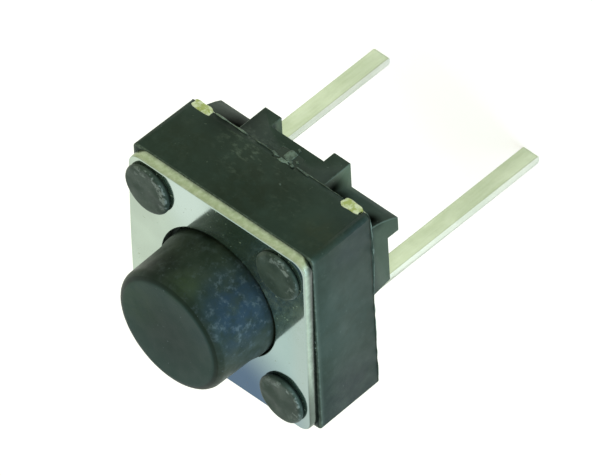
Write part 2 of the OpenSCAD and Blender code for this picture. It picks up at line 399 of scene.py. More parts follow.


# Moulded black plastic: two dark tones in soft clouds under the tints, painted light and shade
# and wear above, with the grain that spark erosion leaves
def mouldedPlastic(name, look):
    made, tree, shader = startMaterial(name)
    here = place(tree)
    at, facing = partsOf(tree, here), facingOf(tree)
    cloud = noise(tree, here, look["cloudScale"], 4)
    chips = remap(tree, noise(tree, here, 6, 4, 0.65), 0.46, 0.62)
    colour = blendColour(tree, remap(tree, cloud, 0.35, 0.68), look["dark"], look["light"])
    colour = addTintsAndPaintedLight(tree, look, colour, here, at[2])
    sheen = look["specular"]
    if look["jointZ"]:
        colour = addJoint(tree, look, colour, at[2], facing[0])
    if look["paintedLightZ"]:
        colour, sheen = addUndersideLightAndShade(tree, look, colour, here, at[0], at[2], facing[0])
        colour = addLedgeWearAndLight(tree, look, colour, at, facing[0], chips)
    colour = addMarks(tree, look, colour, here, at[2], facing, chips)
    grain = times(tree, noise(tree, here, look["grainScale"], 3), 0.35)
    height = calc(tree, "ADD", grain, noise(tree, here, 2.2, 2))
    gloss = remap(tree, cloud, 0.3, 0.7, look["roughness"] + 0.06, look["roughness"] - 0.06)
    setShader(tree, shader, Base_Color=colour, Roughness=gloss, Specular_IOR_Level=sheen,
              Specular_Tint=look["sheenTint"], Normal=bump(tree, height, look["grainDepth"]))
    return made


coverLook = {
    "metallic": 0.975, "gloss": (0.08, 0.12),
    # pairs of drifting tones, warm at warmX and cool from coolX on
    "warm": ((0.47, 0.57, 0.45), (0.54, 0.66, 0.52)), "warmX": -2.6,
    "cool": ((0.38, 0.53, 0.48), (0.42, 0.57, 0.53)), "coolX": 2.2,
    # place, reach, colour
    "tones": [((-0.9, 2.6, 3.3), 1.6, (0.58, 0.71, 0.62)),
              ((1.9, 1.9, 3.3), 1.5, (0.52, 0.56, 0.44))],
    "rimX": (2.2, 2.75), "rim": 0.8, "rimColour": (0.42, 0.53, 0.47),
    # the bluish stain is partly a painted reflection
    "stainAndReflection": ((0.65, -2.9, 3.3), 2.75), "stainAndReflectionColour": (0.078, 0.145, 0.222),
    # sheared edges on the sides along X and along Y
    "sideX": ((0.40, 0.51, 0.44), (0.44, 0.55, 0.49)), "sideXDull": 0.22,
    "sideY": ((0.28, 0.34, 0.20), (0.37, 0.43, 0.29)), "sideYDull": 0.36,
    # dirt and painted shade on the edges: full below the first height and gone at the second;
    # deeper in a corner
    "dirtAndShadeZ": (3.12, 3.33), "dirtAndShade": 0.95, "dirtAndShadeColour": (0.03, 0.04, 0.037),
    "dirtyShadedCorner": ((3.0, -2.5, 3.05), 2.2), "cornerDirtAndShade": 0.75,
    "dots": 0.5, "dotColour": (0.12, 0.14, 0.12),
    "hazeAt": ((2.4, 1.1, 3.3), 1.7), "haze": 0.15, "dust": 0.5,
}


# Bright plated sheet: a mirror face with a slow drift of tone, a bluish stain that is partly a
# painted reflection, haze and dust, and duller sheared edges with grit, dirt and painted shade
def platedSheet(name, look):
    made, tree, shader = startMaterial(name)
    here = place(tree)
    x, y, z = partsOf(tree, here)
    faceX, faceY, faceZ = facingOf(tree)
    flat = remap(tree, absolute(tree, faceZ), 0.6, 0.995)
    alongY = remap(tree, absolute(tree, faceY), 0.35, 0.85)
    drift = remap(tree, noise(tree, here, 0.6, 2), 0.3, 0.7)
    face = blendColour(tree, remap(tree, x, look["warmX"], look["coolX"]),
                       blendColour(tree, drift, *look["warm"]),
                       blendColour(tree, drift, *look["cool"]))
    for centre, reach, tone in look["tones"]:
        face = blendColour(tree, spot(tree, here, centre, reach), face, tone)
    face = blendColour(tree, remap(tree, x, *look["rimX"], 0, look["rim"]), face, look["rimColour"])
    face = blendColour(tree, spot(tree, here, *look["stainAndReflection"]), face, look["stainAndReflectionColour"])
    grit = remap(tree, noise(tree, here, 7, 3, 0.6), 0.35, 0.7)
    edge = blendColour(tree, alongY, blendColour(tree, grit, *look["sideX"]),
                       blendColour(tree, grit, *look["sideY"]))
    colour = blendColour(tree, flat, edge, face)
    ragged = calc(tree, "ADD", times(tree, noise(tree, here, 3.5, 4, 0.65), 0.12),
                  times(tree, alongY, 0.14))
    # dirt and painted shade on the lower edges, deeper in one corner
    dirtAndShade = remap(tree, calc(tree, "ADD", z, ragged), *look["dirtAndShadeZ"], look["dirtAndShade"], 0)
    inCorner = times(tree, spot(tree, here, *look["dirtyShadedCorner"]),
                     times(tree, opposite(tree, flat), look["cornerDirtAndShade"]))
    colour = blendColour(tree, larger(tree, dirtAndShade, inCorner), colour, look["dirtAndShadeColour"])
    dots = remap(tree, noise(tree, here, 6, 2), 0.74, 0.78)
    colour = blendColour(tree, times(tree, dots, look["dots"]), colour, look["dotColour"])
    gloss = remap(tree, noise(tree, here, 1.5, 2), 0.35, 0.7, *look["gloss"])
    dull = times(tree, opposite(tree, flat),
                 remap(tree, alongY, 0, 1, look["sideXDull"], look["sideYDull"]))
    gloss = calc(tree, "ADD", times(tree, gloss, flat), dull)
    wisps = remap(tree, noise(tree, here, 3.2, 4, 0.65), 0.36, 0.66, 0.1, 1)
    haze = times(tree, times(tree, spot(tree, here, *look["hazeAt"]), wisps), look["haze"])
    dust = times(tree, remap(tree, noise(tree, here, 9, 2), 0.69, 0.73), look["dust"])
    haze = larger(tree, haze, times(tree, dust, flat))
    setShader(tree, shader, Base_Color=colour, Roughness=gloss,
              Metallic=calc(tree, "SUBTRACT", look["metallic"], haze))
    return made


leadLook = {
    "rolled": ((0.47, 0.54, 0.36), (0.57, 0.64, 0.45)),
    "sheared": ((0.62, 0.68, 0.61), (0.72, 0.77, 0.71)),
    "streak": 0.2, "streakColour": (0.72, 0.78, 0.66),
    "edge": 0.4, "edgeColour": (0.30, 0.33, 0.22), "gloss": (0.28, 0.42),
}


# Tinned strip: yellowish rolled faces with lengthwise streaks, and whiter sheared edges
def tinnedStrip(name, look):
    made, tree, shader = startMaterial(name)
    here = place(tree)
    sheared = remap(tree, absolute(tree, facingOf(tree)[0]), 0.35, 0.9)
    cloud = remap(tree, noise(tree, place(tree, (1.2, 1.2, 0.5)), 1.6, 3), 0.35, 0.65)
    colour = blendColour(tree, sheared, blendColour(tree, cloud, *look["rolled"]),
                         blendColour(tree, cloud, *look["sheared"]))
    streak = noise(tree, place(tree, (5, 5, 0.5)), 3, 3)
    colour = blendColour(tree, remap(tree, streak, 0.3, 0.75, 0.0, look["streak"]), colour,
                         look["streakColour"])
    edge = attribute(tree, "edgeStrip")
    colour = blendColour(tree, times(tree, edge, look["edge"]), colour, look["edgeColour"])
    gloss = remap(tree, noise(tree, here, 5, 3), 0.3, 0.7, *look["gloss"])
    height = calc(tree, "ADD", streak, times(tree, noise(tree, here, 12, 3), 0.5))
    setShader(tree, shader, Base_Color=colour, Metallic=1.0, Roughness=gloss,
              Normal=bump(tree, height, 0.003))
    return made


# Freshly cut brass with shear marks and small bright fractures
def cutBrass(name, dark, bright):
    made, tree, shader = startMaterial(name)
    grit = remap(tree, noise(tree, place(tree), 5, 4, 0.7), 0.42, 0.62)
    marks = noise(tree, place(tree, (1, 1, 4)), 7, 3)
    setShader(tree, shader, Base_Color=blendColour(tree, grit, dark, bright), Metallic=0.9,
              Roughness=0.4, Normal=bump(tree, marks, 0.01))
    return made


# Torn plastic, whitened where it was stretched; the attribute whitened gives how much
def tornPlastic(name, dark, pale):
    made, tree, shader = startMaterial(name)
    here = place(tree)
    grit = remap(tree, noise(tree, here, 6, 4, 0.7), 0.38, 0.62, 0.35, 1)
    colour = blendColour(tree, times(tree, grit, attribute(tree, "whitened")), dark, pale)
    setShader(tree, shader, Base_Color=colour, Roughness=0.55, Specular_IOR_Level=0.25,
              Normal=bump(tree, noise(tree, here, 18, 4), 0.01))
    return made


# Spring steel, with fine streaks from rolling
def springSteel(name, dark, bright):
    made, tree, shader = startMaterial(name)
    streak = noise(tree, place(tree, (1, 12, 1)), 4, 3)
    gloss = remap(tree, noise(tree, place(tree), 3, 2), 0.3, 0.7, 0.22, 0.34)
    setShader(tree, shader, Base_Color=blendColour(tree, streak, dark, bright), Metallic=1.0,
              Roughness=gloss, Normal=bump(tree, streak, 0.002))
    return made


housingBlack = mouldedPlastic("mouldedHousingBlack", housingLook)
buttonBlack = mouldedPlastic("mouldedButtonBlack", buttonLook)
headBlack = mouldedPlastic("stakedHeadBlack", headLook)
coverBright = platedSheet("platedCoverSheet", coverLook)
leadTin = tinnedStrip("tinnedStrip", leadLook)
endBrass = cutBrass("cutStripEnd", (0.31, 0.37, 0.12), (0.54, 0.61, 0.42))
gateTorn = tornPlastic("tornGatePlastic", (0.022, 0.038, 0.03), (0.26, 0.35, 0.34))
flashTorn = tornPlastic("thinFlashPlastic", (0.022, 0.036, 0.028), (0.21, 0.27, 0.25))
domeSteel = springSteel("springSteel", (0.50, 0.50, 0.49), (0.68, 0.68, 0.67))
print("finishes ready")


# Distance in metres at which points merge, and the angles in degrees up to which faces are
# joined and above which an edge is sharp
rounding = {"merge": 2e-7, "flat": 0.3, "sharp": 32}


# A merged copy of a frame node with its flat faces joined, cut off beyond a distance along an
# axis if one is given, and with its sharp outer edges rounded where share(middle) is true.
# The corners of the faces that the rounding adds carry edgeStrip = 1.
def roundedCopy(node, name, radius, segments, share, cut=None):
    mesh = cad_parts[node].data.copy()
    mesh.name = name
    mesh.materials.clear()
    shell = bmesh.new()
    shell.from_mesh(mesh)
    bmesh.ops.remove_doubles(shell, verts=shell.verts, dist=rounding["merge"])
    if cut is not None:
        axis, distance = Vector(cut[0]), cut[1]
        everything = shell.verts[:] + shell.edges[:] + shell.faces[:]
        bmesh.ops.bisect_plane(shell, geom=everything, plane_co=axis * distance * mm,
                               plane_no=axis, clear_outer=True)
        openEdges = [e for e in shell.edges if e.is_boundary]
        bmesh.ops.holes_fill(shell, edges=openEdges, sides=0)
    bmesh.ops.dissolve_limit(shell, angle_limit=math.radians(rounding["flat"]),
                             verts=shell.verts, edges=shell.edges)
    weight = shell.edges.layers.float.new("bevel_weight_edge")
    for edge in shell.edges:
        if edge.is_convex and edge.calc_face_angle(0) > math.radians(rounding["sharp"]):
            middle = (edge.verts[0].co + edge.verts[1].co) / 2 / mm
            edge[weight] = float(share(middle))
    shell.to_mesh(mesh)
    shell.free()
    mesh.polygons.foreach_set("use_smooth", np.ones(len(mesh.polygons), bool))
    mesh.polygons.foreach_set("material_index", np.zeros(len(mesh.polygons), np.int32))
    rough = addObject(name + "_rough", mesh)
    rough.data.materials.append(housingBlack)
    rough.data.materials.append(gateTorn)
    bevel = rough.modifiers.new("rounding", "BEVEL")
    bevel.limit_method = "WEIGHT"
    bevel.width = radius * mm
    bevel.segments = segments
    bevel.use_clamp_overlap = False
    bevel.harden_normals = True
    bevel.material = 1
    bpy.context.view_layer.update()
    seen = bpy.context.evaluated_depsgraph_get()
    done = bpy.data.meshes.new_from_object(rough.evaluated_get(seen), preserve_all_data_layers=True,
                                           depsgraph=seen)
    done.name = name
    bpy.data.objects.remove(rough)
    index = np.zeros(len(done.polygons), np.int32)
    done.polygons.foreach_get("material_index", index)
    corners = np.zeros(len(done.polygons), np.int32)
    done.polygons.foreach_get("loop_total", corners)
    strip = done.attributes.new("edgeStrip", "FLOAT", "CORNER")
    strip.data.foreach_set("value", np.repeat((index == 1).astype(np.float32), corners))
    done.polygons.foreach_set("material_index", np.zeros(len(done.polygons), np.int32))
    done.materials.clear()
    return addObject(name, done)


def finishPiece(piece, material, body, slotName, *stoodFor):
    piece.data.materials.clear()
    piece.data.materials.append(material)
    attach(piece, body)
    if stoodFor:
        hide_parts(*stoodFor)
    return piece


moulding = {
    "edge": 0.03, "steps": 3, "postTop": 3.295, "wellRadius": 2.45, "wellFloor": 1.15,
    "buriedFrom": 0.86, "buriedTo": 1.25, "outermost": 2.95, "partingZ": 0.98, "partingBand": 0.02,
}


# Edges of the outside only: not inside the well, not where the contacts lie buried, and not
# along the parting line, where the flash runs
def outsideEdge(at):
    inWell = math.hypot(at.x, at.y) < moulding["wellRadius"] and at.z > moulding["wellFloor"]
    outermost = max(abs(at.x), abs(at.y)) > moulding["outermost"]
    buried = moulding["buriedFrom"] < at.z < moulding["buriedTo"] and not outermost
    parting = abs(at.z - moulding["partingZ"]) < moulding["partingBand"] and outermost
    return not inWell and not buried and not parting


housing = roundedCopy("base", "housing_moulding", moulding["edge"], moulding["steps"], outsideEdge,
                      ((0, 0, 1), moulding["postTop"]))
finishPiece(housing, housingBlack, "housing", "housing_plastic", "base")

coverSheet = {
    "half": coverHigh[:2], "corner": 0.4, "back": coverLow[2], "front": coverHigh[2],
    "hole": 1.875, "holeAt": (-0.01, 0.02), "step": 0.04,
    "lean": 0.012, "edge": 0.04, "holeEdge": 0.03, "backEdge": 0.012, "margin": 0.01,
    # shift of the two sides along X, and what each gains for every millimetre of Y; the left
    # one gains it past leftFrom, with a bend as soft as leftSoft
    "rightShift": 0.022, "rightLean": 0.015,
    "leftShift": -0.07, "leftLean": 0.04, "leftFrom": 0.2, "leftSoft": 0.5,
}


# Outline of a rounded rectangle as a closed path, with the way out at each point: a quarter
# arc at each corner, joined by straight runs cut into short steps
def roundedPath(halfX, halfY, corner, step):
    turn = np.radians(np.linspace(0, 90, 13))
    corners, outs = [], []
    for quarter in range(4):
        angle = turn + quarter * math.pi / 2
        way = np.stack([np.cos(angle), np.sin(angle)], -1)
        side = np.sign([math.cos(angle[6]), math.sin(angle[6])])
        corners.append(side * (np.array([halfX, halfY]) - corner) + corner * way)
        outs.append(way)
    corners, outs = np.concatenate(corners), np.concatenate(outs)
    line, ways = [], []
    nextCorners, nextOuts = np.roll(corners, -1, 0), np.roll(outs, -1, 0)
    for begin, end, way, nextWay in zip(corners, nextCorners, outs, nextOuts):
        count = max(1, int(np.linalg.norm(end - begin) / step))
        share = np.linspace(0, 1, count, endpoint=False)[:, None]
        line.append(begin + share * (end - begin))
        ways.append(way + share * (nextWay - way))
    return np.concatenate(line), np.concatenate(ways)


# Quads of a surface that closes on itself both ways, points[ring, step]
def closedBothWays(rings, start=0):
    count, steps = rings.shape[:2]
    number = np.arange(count * steps).reshape(count, steps) + start
    beside, after = np.roll(number, -1, 1), np.roll(number, -1, 0)
    both = np.roll(beside, -1, 0)
    return np.stack([number, beside, both, after], -1).reshape(-1, 4).tolist()


# Sheet between a rounded rectangle and a round hole. The section goes up the outer side, over
# its rounded edge, across the front, over the hole's edge, down its wall and back behind;
# across the front a point is (1 - share) * outer line + share * the hole's circle. At the end
# each point moves along X by a mix of the two sides' shifts, where the left one is
# shift + lean * soft rise of Y past leftFrom.
def makeCover(size):
    line, way = roundedPath(*size["half"], size["corner"], size["step"])
    ray = line / np.linalg.norm(line, axis=1)[:, None]
    front, back, lean, margin = size["front"], size["back"], size["lean"], size["margin"]
    edge, small, backEdge = size["edge"], size["holeEdge"], size["backEdge"]
    outside = np.concatenate([
        [[backEdge, back], [0, back + backEdge], [lean * 0.6, front - edge - margin]],
        arc((lean + edge, front - edge), edge, 180, 90, 9),
        [[lean + edge + margin, front]],
    ])
    inside = np.concatenate([
        [[small + margin, front]],
        arc((small, front - small), small, 90, 180, 5),
        [[0, back + 2 * margin], [margin, back]],
    ])
    outer = line - outside[:, None, :1] * way
    inner = (size["hole"] + inside[:, None, :1]) * ray + size["holeAt"]
    share = np.linspace(0, 1, 12)[1:-1, None, None]
    across = (1 - share) * outer[-1] + share * inner[0]
    behind = (1 - share) * inner[-1] + share * outer[0]
    flat = np.concatenate([outer, across, inner, behind])
    height = np.concatenate([outside[:, 1], np.full(len(share), front), inside[:, 1],
                             np.full(len(share), back)])[:, None, None]
    rings = np.concatenate([flat, np.broadcast_to(height, (*flat.shape[:2], 1))], -1)
    x, y = rings[..., 0], rings[..., 1]
    rightwards = size["rightShift"] + size["rightLean"] * y
    past = size["leftSoft"] * np.logaddexp(0, (y - size["leftFrom"]) / size["leftSoft"])
    leftwards = size["leftShift"] + size["leftLean"] * past
    mix = (size["half"][0] - x) / (2 * size["half"][0])
    rings[..., 0] = x + (1 - mix) * rightwards + mix * leftwards
    return meshFrom("cover_sheet", rings.reshape(-1, 3), closedBothWays(rings))


cover = addObject("cover_sheet", makeCover(coverSheet))
finishPiece(cover, coverBright, "housing", "cover_metal", "cover_plate")

leadEdges = {"edge": 0.02, "steps": 2, "roundBelow": 0.7, "stripEnd": 2.85}
for node, name in (("centre_terminal", "centre_lead"), ("outer_terminal", "outer_lead")):
    lead = roundedCopy(node, name, leadEdges["edge"], leadEdges["steps"],
                       lambda at: at.z < leadEdges["roundBelow"],
                       ((0, 1, 0), leadEdges["stripEnd"]))
    finishPiece(lead, leadTin, "housing", "tinned_metal", node)
print("housing, cover and leads made")


button = {
    "pole": 0.02, "bossRadius": 0.8, "bossZ": plungerLow[2], "smallEdge": 0.05,
    "flangeZ": 2.25, "flangeRadius": plungerHigh[0], "flangeTop": coverLow[2],
    "radius": 1.75, "topRadius": 1.73, "top": plungerHigh[2], "edge": 0.27,
    # the foot flares out below footTop and blends into the wall at footEnd
    "footRadius": 1.8, "footTop": 3.48, "footEase": 0.1, "footLip": 0.012, "footEnd": 3.76,
    "steps": 288, "ringStep": 0.035, "wobble": 0.004, "wobbleSize": 0.5, "seed": 11,
    "dish": 0.012,
}


# Turned profile with rounded corners, a foot that flares out and a wall that narrows upwards;
# the wall's radius is varied by soft noise, and the top is dished by
# dish * (1 - (radius / flat radius)^2)
def makeButton(size):
    small = size["smallEdge"]
    flatRadius = size["topRadius"] - size["edge"]
    profile = runs([
        [size["pole"], size["bossZ"]],
        arc((size["bossRadius"] - small, size["bossZ"] + small), small, -90, 0, 5),
        [size["bossRadius"], size["flangeZ"]],
        arc((size["flangeRadius"] - small, size["flangeZ"] + small), small, -90, 0, 5),
        arc((size["flangeRadius"] - small, size["flangeTop"] - small), small, 0, 90, 5),
        [size["footRadius"], size["flangeTop"]],
        [size["footRadius"], size["footTop"]],
        [size["radius"] + size["footLip"], size["footEnd"] - size["footEase"]],
        [size["radius"], size["footEnd"]],
        arc((flatRadius, size["top"] - size["edge"]), size["edge"], 0, 90, 14),
        [size["pole"], size["top"]],
    ], size["ringStep"])
    rings = turned(profile, size["steps"])
    radius = np.hypot(rings[..., 0], rings[..., 1])
    wall = (np.abs(radius - size["radius"]) < 0.3) & (rings[..., 2] > size["flangeTop"] + 0.02)
    soft = 0.5 + 0.5 * waves(rings, size["wobbleSize"], size["seed"])
    rings[..., :2] *= (1 - size["wobble"] * soft * wall / size["radius"])[..., None]
    onTop = (rings[..., 2] > size["top"] - 0.001) & (radius < flatRadius)
    rings[..., 2] -= onTop * size["dish"] * (1 - (radius / flatRadius) ** 2)
    return meshFrom("button", *ringFaces(rings))


pressed = addObject("button", makeButton(button))
finishPiece(pressed, buttonBlack, "button", "plunger_plastic", "plunger")
print("button made")


stakes = {
    "coverTop": coverHigh[2], "pole": 0.02, "neck": 0.5, "sunk": 0.02, "edge": 0.09, "heel": 0.03,
    # the last pair here is the way in X and Y on which the heads' round edges get a painted
    # highlight
    "steps": 120, "ringStep": 0.02, "uneven": 0.012, "pressed": 0.008, "highlightTowards": (0.7, 0.7),
    # name: place in X and Y, radius, height
    "heads": {
        "staked_head_1": (-2.15, -2.15, 0.69, 0.15),
        "staked_head_2": (-2.19, 2.19, 0.725, 0.165),
        "staked_head_3": (2.04, -2.23, 0.71, 0.16),
        "staked_head_4": (2.13, 2.17, 0.70, 0.14),
    },
}


# Turned profile of a squeezed head: neck, narrower heel on the cover, side that flares out,
# round edge and flat top. Its outline and its top are varied by noise of its own, and the
# round edge carries edgeStrip = 0.25 + 0.9 * cos(angle from the given side), within 0..1:
# chipped wear raised on that side into a painted highlight.
def makeHead(name, size, seed):
    x, y, rim, high = size["heads"][name]
    base, edge, heel = size["coverTop"], size["edge"], size["heel"]
    top, sunk = base + high, base - size["sunk"]
    profile = runs([
        [size["pole"], sunk],
        [size["neck"], sunk],
        [size["neck"], base + 0.001],
        [rim - heel - 0.01, base + 0.001],
        [rim - heel, base + 0.01],
        arc((rim - edge, top - edge), edge, -10, 90, 9),
        [rim - edge - 0.04, top],
        [size["pole"], top],
    ], size["ringStep"])
    rings = turned(profile, size["steps"])
    radius = np.hypot(rings[..., 0], rings[..., 1])[..., None]
    roundEdge = (radius[..., 0] > rim - 3 * edge) & (rings[..., 2] > top - 0.5 * edge)
    outward = rings[..., :2] / np.maximum(radius, 1e-6)
    lumps = waves(outward, 1.6, seed)[..., None] * np.clip(radius / rim, 0, 1) ** 4
    rings[..., :2] *= 1 - size["uneven"] * (0.6 + 0.6 * lumps)
    share = np.clip((rings[..., 2] - base) / high, 0, 1)
    rings[..., 2] -= size["pressed"] * share * (1 + waves(rings[..., :2], 0.7, seed + 40))
    rings += np.array([x, y, 0])
    mesh = meshFrom(name, *ringFaces(rings))
    towards = np.clip(0.25 + 0.9 * (outward @ size["highlightTowards"]), 0, 1)
    mark(mesh, "edgeStrip", np.append((roundEdge * towards).ravel(), [0, 0]).astype(np.float32))
    return mesh


for seed, name in enumerate(stakes["heads"]):
    head = addObject(name, makeHead(name, stakes, seed + 1))
    finishPiece(head, headBlack, "housing", "housing_plastic", "base")
print("staked heads made")


dome = {
    "rim": domeHigh[0], "rise": round(domeHigh[2] - domeLow[2], 3), "thick": 0.07,
    "floor": domeLow[2], "travel": 0.25, "pole": 0.02, "rows": 40, "steps": 128,
}


# Thin spherical cap: outer and inner arcs of one centre, height = sqrt(R^2 - radius^2) less
# the drop to the floor
def makeDome(size):
    sphere = (size["rim"] ** 2 + size["rise"] ** 2) / (2 * size["rise"])
    drop = size["floor"] + size["rise"] - sphere
    inner = sphere - size["thick"]
    innerRim = math.sqrt(inner ** 2 - (size["floor"] - drop) ** 2)
    out = np.linspace(size["pole"], size["rim"], size["rows"])
    back = np.linspace(innerRim, size["pole"], size["rows"])
    profile = np.concatenate([
        np.stack([out, np.sqrt(sphere ** 2 - out ** 2) + drop], -1),
        np.stack([back, np.sqrt(inner ** 2 - back ** 2) + drop], -1),
    ])
    return meshFrom("dome", *ringFaces(turned(profile, size["steps"])))


snapDome = addObject("dome", makeDome(dome))
finishPiece(snapDome, domeSteel, "housing", "dome_steel", "snap_dome")
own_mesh(snapDome)
print("dome made")


cutEnds = {
    "face": 2.968, "proud": 0.022, "buried": -0.12, "steps": 72, "rows": 12,
    "uneven": 0.07, "unevenSize": 1.2, "power": 0.5, "ridge": 0.006, "ridgeSize": 0.18,
    # name: middle in X and Z, width, height, seed
    "ends": {
        "centre_strip_end": (2.42, 1.03, 0.60, 0.31, 21),
        "outer_strip_end": (-2.54, 1.04, 0.62, 0.28, 22),
    },
}


# Pillow over a rounded rectangle with a ragged outline: rings shrink from the outline to the
# middle, and the height rises as sqrt(1 - share^4) with shear ridges across it; the outline's
# corners are (cos, sin) of the angle, each raised to power with its sign kept
def makeCutEnd(name, size):
    middleX, middleZ, width, height, seed = size["ends"][name]
    angle = np.linspace(0, 2 * math.pi, size["steps"], endpoint=False)
    ring = np.stack([np.cos(angle), np.sin(angle)], -1)
    corner = np.sign(ring) * np.abs(ring) ** size["power"]
    corner *= 1 + size["uneven"] * waves(corner, size["unevenSize"], seed)[:, None]
    share = np.concatenate([[0.92], np.linspace(1, 0.04, size["rows"])])[:, None]
    x = middleX + corner[:, 0] * width / 2 * share
    z = middleZ + corner[:, 1] * height / 2 * share
    rise = np.sqrt(np.clip(1 - share ** 4, 0, 1)) * size["proud"] * np.ones_like(x)
    rise[0] = size["buried"]
    rings = np.stack([x, size["face"] + rise, z], -1)
    ridges = waves(rings[..., [0, 2]], size["ridgeSize"], seed) * size["ridge"]
    rings[1:, :, 1] += ridges[1:] * (1 - share[1:] ** 4)
    return meshFrom(name, *ringFaces(rings))


for name in cutEnds["ends"]:
    end = addObject(name, makeCutEnd(name, cutEnds))
    finishPiece(end, endBrass, "housing", "tinned_metal")
print("strip ends made")


flakes = {
    "thick": 0.012, "steps": 32, "power": 0.5, "raggedSize": 1.1, "seed": 60,
    # name: origin, then unit ways across, up and out of the surface, then one row a flake:
    # across, up, width, height, turn in degrees, lift, curl, raggedness, whitened
    "gate_scar": ((0, 2.93, 0), (1, 0, 0), (0, 0, 1), (0, 1, 0), [
        (0.17, 0.88, 0.78, 0.46, 0, 0.028, 0.0, 0.06, 0.0),
        (0.17, 0.79, 0.27, 0.33, 3, 0.040, 0.0, 0.08, 0.62),
        (0.19, 1.03, 0.27, 0.11, -8, 0.044, 0.4, 0.3, 0.85),
        (0.43, 1.02, 0.10, 0.08, 20, 0.05, 0.3, 0.3, 0.9),
        (-0.18, 0.985, 0.25, 0.07, 12, 0.045, 0.3, 0.35, 0.6),
        (0.45, 0.85, 0.09, 0.07, 40, 0.045, 0.3, 0.3, 0.6),
        (0.21, 0.53, 0.12, 0.06, 30, 0.045, 0.0, 0.3, 0.35),
        (0.33, 0.95, 0.10, 0.08, 60, 0.046, 0.2, 0.3, 0.45),
        (0.03, 1.06, 0.10, 0.04, -20, 0.045, 0.2, 0.3, 0.5),
        (0.78, 0.995, 0.36, 0.05, 4, 0.05, 0.1, 0.2, 0.35),
        (-0.55, 0.96, 0.22, 0.045, 0, 0.045, 0.1, 0.3, 0.3),
        (0.64, 1.66, 0.06, 0.05, 30, 0.056, 0.0, 0.3, 0.5),
    ]),
    "ledge_crumbs": ((2.905, 0, 2.995), (0, 1, 0), (1, 0, 0), (0, 0, 1), [
        (0.24, 0.01, 0.08, 0.06, 20, 0.02, 0.2, 0.3, 1.4),
        (0.12, 0.03, 0.08, 0.06, 0, 0.022, 0.2, 0.3, 1.4),
        (-0.08, 0.03, 0.10, 0.06, 35, 0.022, 0.3, 0.3, 1.4),
        (0.03, 0.0, 0.07, 0.05, 70, 0.02, 0.0, 0.3, 1.2),
        (-0.30, 0.03, 0.05, 0.04, 10, 0.012, 0.0, 0.3, 1.0),
        (1.7, 0.03, 0.05, 0.03, 0, 0.008, 0.0, 0.3, 0.9),
    ]),
}


# Thin torn flakes on a surface: a flat closed disc, between a circle and a square in outline
# and ragged, whose middle plane lifts by curl * (distance along it)^2 and whose thickness
# falls as sqrt(1 - share^4)
def makeFlakes(name, size):
    origin, across, up, out, rows = size[name]
    across, up, out = np.array(across, float), np.array(up, float), np.array(out, float)
    angle = np.linspace(0, 2 * math.pi, size["steps"], endpoint=False)
    ring = np.stack([np.cos(angle), np.sin(angle)], -1)
    squarish = np.sign(ring) * np.abs(ring) ** size["power"]
    share = np.concatenate([np.linspace(0.08, 1, 7), np.linspace(0.94, 0.08, 6)])[:, None]
    side = np.concatenate([-np.ones(7), np.ones(6)])[:, None]
    points, faces, tones, start = [], [], [], 0
    for number, (x, z, width, height, turn, lift, curl, ragged, whitened) in enumerate(rows):
        torn = waves(ring, size["raggedSize"], size["seed"] + number)
        outline = squarish * (1 + ragged * torn)[:, None]
        a = share * outline[:, 0] * width / 2
        b = share * outline[:, 1] * height / 2
        cosTurn, sinTurn = math.cos(math.radians(turn)), math.sin(math.radians(turn))
        depth = side * size["thick"] / 2 * np.sqrt(np.clip(1 - share ** 4, 0, 1))
        rise = lift + curl * a ** 2 + depth
        spread = (x + a * cosTurn - b * sinTurn)[..., None] * across
        rings = np.array(origin) + spread + (z + a * sinTurn + b * cosTurn)[..., None] * up
        rings = rings + rise[..., None] * out
        ringPoints, ringSkin = ringFaces(rings, start)
        points.append(ringPoints)
        faces += ringSkin
        tones.append(np.full(len(ringPoints), whitened))
        start += len(ringPoints)
    mesh = meshFrom(name, np.concatenate(points), faces)
    mark(mesh, "whitened", np.concatenate(tones))
    return mesh


for name in ("gate_scar", "ledge_crumbs"):
    scar = addObject(name, makeFlakes(name, flakes))
    finishPiece(scar, gateTorn, "housing", "housing_plastic")


flash = {
    "half": 2.962, "corner": 0.13, "z": 0.965, "height": 0.03, "thick": 0.04, "step": 0.02,
    "swellSize": 0.5, "toneSize": 0.8, "seed": 9, "sag": 0.06, "sagFrom": 0.2, "sagTo": 2.9,
    # bare stretches: middle in X and Y and half length
    "bare": [(2.47, 2.97, 0.34), (-2.55, 2.97, 0.34), (0.17, 2.97, 0.36)],
    # the fullest and palest stretch: middle in X and Y, half length, growth
    "full": (-1.65, 2.97, 0.62, 0.7),
}


